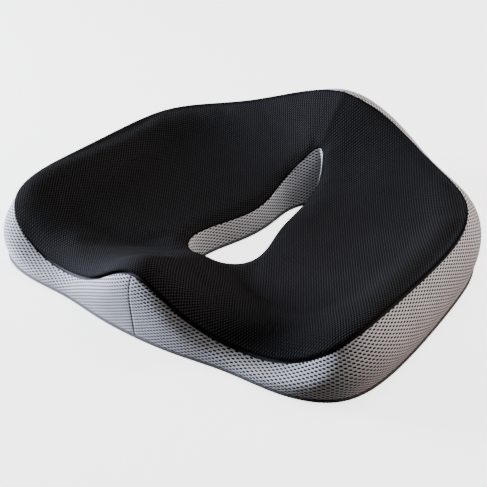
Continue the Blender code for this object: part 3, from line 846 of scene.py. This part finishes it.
def makeBase():
    # The base cloth, with a shallow unevenness, as a closed sheet between the two bindings.
    columns = base["columns"]
    inner, outer = baseOutlines(columns, base["inset"])
    shares = np.linspace(0, 1, base["rows"])
    plan = np.array([inner + (outer - inner) * s for s in shares])
    across, along = base["waves"]
    wave = np.sin(plan[..., 0] * across) * np.sin(plan[..., 1] * along + base["shift"])
    under = np.dstack([plan, base["low"] + base["quilt"] * wave * np.sin(math.pi * shares)[:, None]])
    over = np.dstack([plan, np.full(plan.shape[:2], base["high"])])
    points = np.concatenate([under, over[::-1]]).reshape(-1, 3)
    faces = gridFaces(2 * base["rows"], columns, flip=True, joined=True)
    return buildMesh("basePanel", points, faces, baseCloth, smoothAngle=50)


baseBinding = makeBinding("baseBinding", basePlan, basePlan, binding["baseCount"], -1)
cutoutBinding = makeBinding("cutoutBinding", edgePlan, cutoutFoot, binding["cutoutCount"], 1)
basePanel = makeBase()


def stampTree(name, followsPath):
    # Puts a small shape at each point, or at an even pitch along a path, standing on its outward vector.
    tree = bpy.data.node_groups.new(name, "GeometryNodeTree")
    tree.is_modifier = True
    for label, kind in (
        ("Geometry", "Geometry"), ("Shape", "Object"), ("Finish", "Material"), ("Pitch", "Float"),
        ("Scale", "Float"), ("Size change", "Float"), ("Seed", "Int"),
    ):
        tree.interface.new_socket(label, in_out="INPUT", socket_type="NodeSocket" + kind)
    tree.interface.new_socket("Geometry", in_out="OUTPUT", socket_type="NodeSocketGeometry")
    source = addNode(tree, "NodeGroupInput", {}).outputs
    outward = addNode(tree, "GeometryNodeInputNamedAttribute", {"data_type": "FLOAT_VECTOR", 0: "outward"})
    if followsPath:
        line = addNode(tree, "GeometryNodeMeshToCurve", {"Mesh": source["Geometry"]})
        points = addNode(
            tree, "GeometryNodeResampleCurve", {"mode": "LENGTH", "Curve": line, "Length": source["Pitch"]}
        )
        along = addNode(tree, "GeometryNodeInputTangent", {})
    else:
        points = source["Geometry"]
        along = addNode(tree, "ShaderNodeCombineXYZ", {"X": 1.0})
    turn = addNode(
        tree, "FunctionNodeAxesToRotation", {"primary_axis": "Z", "secondary_axis": "X", 0: outward, 1: along}
    )
    low, high = (
        addNode(tree, "ShaderNodeMath", {"operation": way, 0: source["Scale"], 1: source["Size change"]})
        for way in ("SUBTRACT", "ADD")
    )
    size = addNode(
        tree, "FunctionNodeRandomValue", {"data_type": "FLOAT", 2: low, 3: high, "Seed": source["Seed"]}
    ).outputs[1]
    stamp = addNode(tree, "GeometryNodeObjectInfo", {"Object": source["Shape"]}).outputs["Geometry"]
    placed = addNode(
        tree, "GeometryNodeInstanceOnPoints",
        {"Points": points, "Instance": stamp, "Rotation": turn, "Scale": size},
    )
    real = addNode(tree, "GeometryNodeRealizeInstances", {"Geometry": placed})
    done = addNode(tree, "GeometryNodeSetMaterial", {"Geometry": real, "Material": source["Finish"]})
    addNode(tree, "NodeGroupOutput", {"Geometry": done})
    return tree


pathTree = stampTree("stampAlongPath", True)
pointTree = stampTree("stampOnPoints", False)


def stamped(name, tree, points, outward, stamp, finish, **inputs):
    edges = [(i, i + 1) for i in range(len(points) - 1)] if tree is pathTree else []
    mesh = bpy.data.meshes.new(name + "Path")
    mesh.from_pydata([tuple(p) for p in points], edges, [])
    standing = mesh.attributes.new("outward", "FLOAT_VECTOR", "POINT")
    standing.data.foreach_set("vector", np.asarray(outward, np.float32).ravel())
    carrier = newObject(name + "Path", mesh)
    nodes = carrier.modifiers.new("stamp", "NODES")
    nodes.node_group = tree
    values = {"Shape": stamp, "Finish": finish, "Scale": 1.0, "Size change": 0.0, "Seed": 3, **inputs}
    for item in tree.interface.items_tree:
        if item.in_out == "INPUT" and item.name in values:
            nodes[item.identifier] = values[item.name]
    ready = bpy.data.meshes.new_from_object(evaluated(carrier))
    bpy.data.objects.remove(carrier)
    ready.name = name
    ready.shade_smooth()
    ready.set_sharp_from_angle(angle=math.radians(60))
    return newObject(name, ready)


def stampShape(name, profile, sides, stretch=(1, 1)):
    # Small turned shape on Z, from its (radius, height) profile, stretched along X and Y.
    points = [
        (radius * math.cos(a) * stretch[0], radius * math.sin(a) * stretch[1], height)
        for radius, height in profile for a in turns(sides)
    ]
    faces = gridFaces(len(profile), sides)
    faces.append(tuple(range(sides))[::-1])
    faces.append(tuple(range(len(points) - sides, len(points))))
    mesh = bpy.data.meshes.new(name)
    mesh.from_pydata(points, [], faces)
    return newObject(name, mesh)


def roundStamp(name, radius, length, wide, sides=8):
    # A thread or wire seen from outside: a flattened bead, longer one way than the other.
    profile = [(0.35, -radius), (0.9, -0.5 * radius), (1.0, 0), (0.9, 0.5 * radius), (0.35, radius)]
    return stampShape(name, profile, sides, (length / 2, wide / 2))


def insideRing(points, ring):
    inside = np.zeros(len(points), bool)
    x, y = points[:, 0], points[:, 1]
    for (x0, y0), (x1, y1) in zip(ring, np.roll(ring, -1, 0)):
        if y0 != y1:
            inside ^= ((y0 > y) != (y1 > y)) & (x < (x1 - x0) * (y - y0) / (y1 - y0) + x0)
    return inside


dots = {
    "pitch": 9.5 * mm, "radius": 1.5 * mm, "margin": 9 * mm, "sunk": 0.1 * mm, "uneven": 0.06,
    "across": 26, "along": 24,      # how far the pattern is laid out each way, in dots
    "outline": 200,
    "profile": ((1, 0), (0.93, 0.5), (0.7, 0.85), (0.35, 1)),      # as shares of the radius and the height
}


def makeGripDots():
    # Silicone dots printed in a staggered pattern on the base cloth.
    inner, outer = baseOutlines(dots["outline"], dots["margin"])
    rowStep = dots["pitch"] * math.sqrt(3) / 2
    points = np.array([
        ((i + 0.5 * (j % 2)) * dots["pitch"], j * rowStep)
        for j in range(-dots["along"], dots["along"] + 1) for i in range(-dots["across"], dots["across"] + 1)
    ])
    printed = insideRing(points, outer) & ~insideRing(points, inner)
    points = lifted(points[printed], base["low"] + dots["sunk"])
    height = (base["low"] + dots["sunk"]) / (1 + dots["uneven"])
    stamp = stampShape("dotShape", [(dots["radius"] * r, height * h) for r, h in dots["profile"]], 10)
    made = stamped(
        "gripDots", pointTree, points, np.tile([0.0, 0.0, -1.0], (len(points), 1)), stamp, gripRubber,
        **{"Size change": dots["uneven"]},
    )
    bpy.data.objects.remove(stamp)
    return made


gripDots = makeGripDots()
print("base done")


stitching = {"pitch": 3.4 * mm, "length": 2.5 * mm, "radius": 0.28 * mm, "proud": 0.1 * mm}


def makeStitches():
    # Lockstitches up the joins of the side bands and along the hem over the zip.
    stamp = roundStamp("stitchShape", stitching["radius"], stitching["length"], 2 * stitching["radius"])
    points, _, top = bandGrid
    made = []

    def sewn(name, line, outward):
        raised = line + outward * stitching["proud"]
        made.append(stamped(name, pathTree, raised, outward, stamp, greyThread, Pitch=stitching["pitch"]))

    for name, column, first, way in (("frontJoin", 0, 2, -1.0), ("backJoin", backColumn, zipLevels + 2, 1.0)):
        line = points[first : top[column] - 1, column]
        slope = unit(np.gradient(line, axis=0))
        facing = np.array([0.0, way, 0.0])
        sewn(name + "Stitches", line, unit(facing - slope * (slope @ facing)[:, None]))
    hem = slice(backColumn - zipColumns, backColumn + zipColumns + 1)
    line = points[zipLevels + 2, hem]
    sewn("hemStitches", line, gridNormals(points[zipLevels : zipLevels + 5, hem], False)[2])
    bpy.data.objects.remove(stamp)
    return made


stitches = makeStitches()
print("stitches done")


zipper = {
    "middle": (shape["zipTop"] + shape["bandBase"]) / 2,
    "face": shape["backRadius"] - 0.8 * mm,       # outside of the tapes
    "gap": 0.3 * mm,
    "toothPitch": 1.3 * mm,
    "toothLength": 2.7 * mm,
    "toothWidth": 0.85 * mm,
    "toothHeight": 1.7 * mm,
    "split": 1.4 * mm,                            # left free for the slider's neck
    "hem": 0.9 * mm,
    "slider": 11 * mm,
    "sliderHalf": 4.8 * mm,
    "plate": 1.2 * mm,
    "underPlate": 0.9 * mm,
    "running": 0.4 * mm,
    "tape": 0.8 * mm,
    "coil": 1.8 * mm,
    "stop": 2.4 * mm,
    "stopGap": 0.3 * mm,
    "bridgeInside": 5.2 * mm,
    "bridgePost": 1.0 * mm,
    "bridgeRoom": 1.9 * mm,
    "bridgeWidth": 2.4 * mm,
    "pull": 24 * mm,
    "pullHalf": 3.4 * mm,
    "pullThickness": 1.0 * mm,
    "window": (0.5 * mm, 6.5 * mm, 1.9 * mm),     # from, to and half width
    "grips": (13 * mm, 15 * mm, 17 * mm, 19 * mm),
    "gripWidth": 0.7 * mm,
    "gripHalf": 1.6 * mm,
    "gripHeight": 0.25 * mm,
    "neck": (3 * mm, 1 * mm, 0.6 * mm),           # set in at either end, and half width
    "flange": 1 * mm,
    "lap": 0.2 * mm,                              # how far joined slabs reach into each other
    "bevel": 0.22 * mm,
}
coilLow = zipper["face"] + zipper["gap"]
coilEnd = shape["zipAngle"] - (zipper["gap"] + zipper["stopGap"]) / shape["backRadius"]
sliderAngle = (zipper["stop"] + zipper["slider"] / 2 + zipper["stopGap"]) / shape["backRadius"] - coilEnd


def arcLine(radius, height, start, end, count):
    angles = np.linspace(start, end, count)
    outward = np.column_stack([np.sin(angles), np.cos(angles), 0 * angles])
    return outward * radius + (0, backCentre, height), outward


def makeCoils():
    # Nylon coil teeth, sewn on at a steady pitch. The lower row sits half a tooth further on.
    stamp = roundStamp(
        "toothShape", zipper["toothHeight"] / 2, zipper["toothWidth"], zipper["toothLength"], 10
    )
    made = []
    for name, side, late in (("upper", 1, 0.0), ("lower", -1, 0.5)):
        height = zipper["middle"] + side * (zipper["split"] + zipper["toothLength"]) / 2
        radius = coilLow + zipper["toothHeight"] / 2
        margin = zipper["toothPitch"] / radius
        start = -coilEnd + margin * (0.5 + late)
        line, outward = arcLine(radius, height, start, coilEnd - margin * (1 - late), 160)
        made.append(
            stamped(name + "Coil", pathTree, line, outward, stamp, zipNylon, Pitch=zipper["toothPitch"])
        )
    bpy.data.objects.remove(stamp)
    return made


def makeHem():
    # The rolled lower edge of the side bands over the zip.
    line, outward = arcLine(
        shape["backRadius"] - zipper["hem"] * 0.6, shape["zipTop"] + zipper["hem"] * 0.5,
        -shape["zipAngle"], shape["zipAngle"], 180,
    )
    return sweptCord("zipHem", line, outward, zipper["hem"], airMeshCloth, False)


def sliderPoint(distance, height, radius):
    # Along the zip from the slider's middle, up, and out from the centre of the arc.
    s, c = math.sin(sliderAngle), math.cos(sliderAngle)
    return (s * radius + c * distance, backCentre + c * radius - s * distance, zipper["middle"] + height)


def plates(name, slabs, finish):
    # Slabs cut from flat outlines, each between two depths, with their edges rounded over.
    points, faces = [], []
    for place, outline, low, high, hole in slabs:
        first, count = len(points), len(outline)
        loops = [outline, outline] + ([hole, hole] if hole else [])
        for loop, depth in zip(loops, (low, high, low, high)):
            points += [place(u, v, depth) for u, v in loop]
        for i in range(count):
            j = (i + 1) % count
            a, b = first + i, first + j
            faces.append((a, b, b + count, a + count))
            if hole:
                c, d = a + 2 * count, b + 2 * count
                faces += [(d, c, c + count, d + count), (b, a, c, d)]
                faces.append((a + count, b + count, d + count, c + count))
        if not hole:
            ends = [tuple(range(start, start + count)) for start in (first, first + count)]
            faces += [ends[0][::-1], ends[1]]
    made = buildMesh(name, points, faces, finish, smoothAngle=0)
    repair = bmesh.new()
    repair.from_mesh(made.data)
    bmesh.ops.recalc_face_normals(repair, faces=repair.faces)
    repair.to_mesh(made.data)
    repair.free()
    edge = made.modifiers.new("edge", "BEVEL")
    edge.width, edge.segments, edge.limit_method = zipper["bevel"], 3, "ANGLE"
    rounded = bpy.data.meshes.new_from_object(evaluated(made))
    made.modifiers.clear()
    made.data = rounded
    rounded.shade_smooth()
    rounded.set_sharp_from_angle(angle=math.radians(40))
    return made


def oblong(start, end, low, high):
    return [(start, low), (end, low), (end, high), (start, high)]


def makeSlider():
    half, long, lap = zipper["sliderHalf"], zipper["slider"] / 2, zipper["lap"]
    shield = [(-long, -0.6 * half), (-0.8 * long, -half), (0.5 * long, -half), (long, -0.6 * half)]
    shield += [(u, -v) for u, v in reversed(shield)]
    plateLow = coilLow + zipper["coil"] + zipper["running"]
    plateTop = plateLow + zipper["plate"]
    underTop = zipper["face"] - zipper["tape"] - zipper["running"]
    inside, post = zipper["bridgeInside"] / 2, zipper["bridgePost"]
    outside, eyeTop = inside + post, plateTop + zipper["bridgeRoom"]
    root = plateTop - zipper["plate"] / 2
    arch = [
        (-outside, root), (-inside, root), (-inside, eyeTop - post / 2), (-inside + post / 2, eyeTop),
        (inside - post / 2, eyeTop), (inside, eyeTop - post / 2), (inside, root), (outside, root),
        (outside, eyeTop + post / 3), (outside - post, eyeTop + post), (-outside + post, eyeTop + post),
        (-outside, eyeTop + post / 3),
    ]

    def upright(u, v, depth):
        return sliderPoint(u, depth, v)

    bridge = zipper["bridgeWidth"] / 2
    neckBack, neckFront, neckHalf = zipper["neck"]
    neck = oblong(-long + neckBack, long - neckFront, -neckHalf, neckHalf)
    slabs = [
        (sliderPoint, shield, plateLow, plateTop, None),
        (sliderPoint, shield, underTop - zipper["underPlate"], underTop, None),
        (upright, arch, -bridge, bridge, None),
        (sliderPoint, neck, underTop - lap, plateLow + lap, None),
    ]
    for side in (-1, 1):
        flange = [(u, side * v) for u, v in oblong(-0.75 * long, 0.5 * long, half - zipper["flange"], half)]
        slabs.append((sliderPoint, flange, zipper["face"] + zipper["running"], plateLow + lap, None))
    return plates("zipSlider", slabs, zipMetal), plateTop + zipper["bridgeRoom"] / 2


def makePull(pin):
    half, long, thick = zipper["pullHalf"], zipper["pull"], zipper["pullThickness"] / 2
    near, far, wide = zipper["window"]
    hole, outline = [], []
    for angle in turns(40):
        c, s = math.cos(angle), math.sin(angle)
        side = np.sign(s) * abs(s) ** 0.35
        hole.append(((near + far) / 2 + (far - near) / 2 * np.sign(c) * abs(c) ** 0.35, wide * side))
        u = long / 2 - thick + long / 2 * np.sign(c) * abs(c) ** 0.5
        outline.append((u, half * (1 - 0.22 * math.sin(math.pi * np.clip(u / long, 0, 1))) * side))

    def onPull(u, v, depth):
        return sliderPoint(u, v, pin + depth)

    slabs = [(onPull, outline, -thick, thick, hole)]
    for u in zipper["grips"]:
        grip = oblong(u, u + zipper["gripWidth"], -zipper["gripHalf"], zipper["gripHalf"])
        slabs.append((onPull, grip, -thick * 0.5, thick + zipper["gripHeight"], None))
    return plates("zipPull", slabs, zipMetal)


upperCoil, lowerCoil = makeCoils()
zipHem = makeHem()
zipSlider, pinRadius = makeSlider()
zipPull = makePull(pinRadius)
for node, finish in (
    ("zip_tape_upper", zipTape), ("zip_tape_lower", zipTape),
    ("zip_stop_closed", zipMetal), ("zip_stop_open", zipMetal),
):
    cadNodes[node].data.materials.clear()
    cadNodes[node].data.materials.append(finish)
print("zip done")

for piece, body, slotName, replaced in (
    (topPanel, "cushion", "top_mesh", "top_panel"),
    (rightBand, "cushion", "band_mesh", "side_band_right"),
    (leftBand, "cushion", "band_mesh", "side_band_left"),
    (lining, "cushion", "band_mesh", "cutout_band"),
    (foamCore, "cushion", "foam", "foam_core"),
    (baseBinding, "cushion", "edge_cord", "base_edge_cord"),
    (cutoutBinding, "cushion", "edge_cord", "cutout_edge_cord"),
    (basePanel, "cushion", "base_cloth", "base_panel"),
    (gripDots, "cushion", "base_cloth", None),
    (stitches[0], "cushion", "thread", "front_seam_thread"),
    (stitches[1], "cushion", "thread", "back_seam_thread"),
    (stitches[2], "cushion", "thread", None),
    (zipHem, "cushion", "band_mesh", None),
    (upperCoil, "cushion", "zip_coil", "zip_coil_upper"),
    (lowerCoil, "cushion", "zip_coil", "zip_coil_lower"),
    (zipSlider, "slider", "zip_metal", "zip_slider"),
    (zipPull, "pull", "zip_metal", "zip_pull"),
):
    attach(piece, body)
    if replaced:
        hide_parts(replaced)

studio = {
    "floor": "#f6f6f6",
    "glow": 3.0,
    "world": 0.16,
    "worldTint": "#f3e9e6",
    "size": 8.0,
    "sides": 48,
    "wall": ((0.5, 0), (0.85, 0), (0.96, 0.04), (1, 0.15), (1, 1)),      # out and up, as shares of the size
    "aim": (0, 0, 0.04),
    "lamps": {                 # place, power, size and colour
        "key": ((-1.40, -0.55, 0.26), 118.0, 0.5, "#e2eaff"),
        "fill": ((1.25, 0.85, 0.45), 14.0, 0.7, "#ffe3d6"),
        "top": ((0.35, 0.75, 1.35), 24.0, 1.2, "#fffaf6"),
    },
}


def makeStudio():
    # A pale floor that runs up into a round wall. It shines by itself and throws nothing on the cushion, so
    # that the lamps alone shape it.
    size, sides, wall = studio["size"], studio["sides"], studio["wall"]
    points = [
        (size * out * math.cos(a), size * out * math.sin(a), size * rise)
        for out, rise in wall for a in turns(sides)
    ]
    faces = gridFaces(len(wall), sides, flip=True)
    faces += [(s, (s + 1) % sides, len(points)) for s in range(sides)]
    points.append((0, 0, 0))
    made, _ = newFinish("paperBackdrop")
    colour = hexColour(studio["floor"])
    finished(made, {
        "Base Color": colour, "Roughness": 0.9, "Emission Color": colour, "Emission Strength": studio["glow"],
    })
    floor = buildMesh("floor", points, faces, made)
    floor.visible_diffuse = floor.visible_glossy = floor.visible_shadow = False
    world = bpy.data.worlds.new("studio")
    bpy.context.scene.world = world
    world.use_nodes = True
    background = world.node_tree.nodes["Background"].inputs
    background["Color"].default_value = hexColour(studio["worldTint"])
    background["Strength"].default_value = studio["world"]
    for name, (place, power, size, colour) in studio["lamps"].items():
        light = bpy.data.lights.new(name, "AREA")
        light.energy, light.size, light.color = power, size, hexColour(colour)[:3]
        lamp = newObject(name, light)
        aim = Vector(studio["aim"]) - Vector(place)
        lamp.matrix_world = Matrix.Translation(place) @ aim.to_track_quat("-Z", "Y").to_matrix().to_4x4()


camera = {
    "azimuth": math.radians(37.2),
    "elevation": math.radians(32.5),
    "roll": math.radians(-0.64),
    "lens": 85.0,
    "sensor": 36.0,
    "distance": 1.217,
    "aim": (-0.009, 0.008),      # how far the view's middle lies right of and above the cushion's middle
    "centreY": -0.008,
}


def makeCamera():
    a, e = camera["azimuth"], camera["elevation"]
    right = Vector((math.cos(a), math.sin(a), 0))
    above = Vector((-math.sin(a) * math.sin(e), math.cos(a) * math.sin(e), math.cos(e)))
    back = right.cross(above)
    place = right * camera["aim"][0] + above * camera["aim"][1] + back * camera["distance"]
    place += Vector((0, camera["centreY"], 0))
    data = bpy.data.cameras.new("camera")
    data.lens = camera["lens"]
    data.sensor_width = camera["sensor"]
    view = newObject("camera", data)
    turn = Matrix((right, above, back)).transposed().to_4x4() @ Matrix.Rotation(camera["roll"], 4, "Z")
    view.matrix_world = Matrix.Translation(place) @ turn
    bpy.context.scene.camera = view


makeStudio()
makeCamera()
print("studio done")
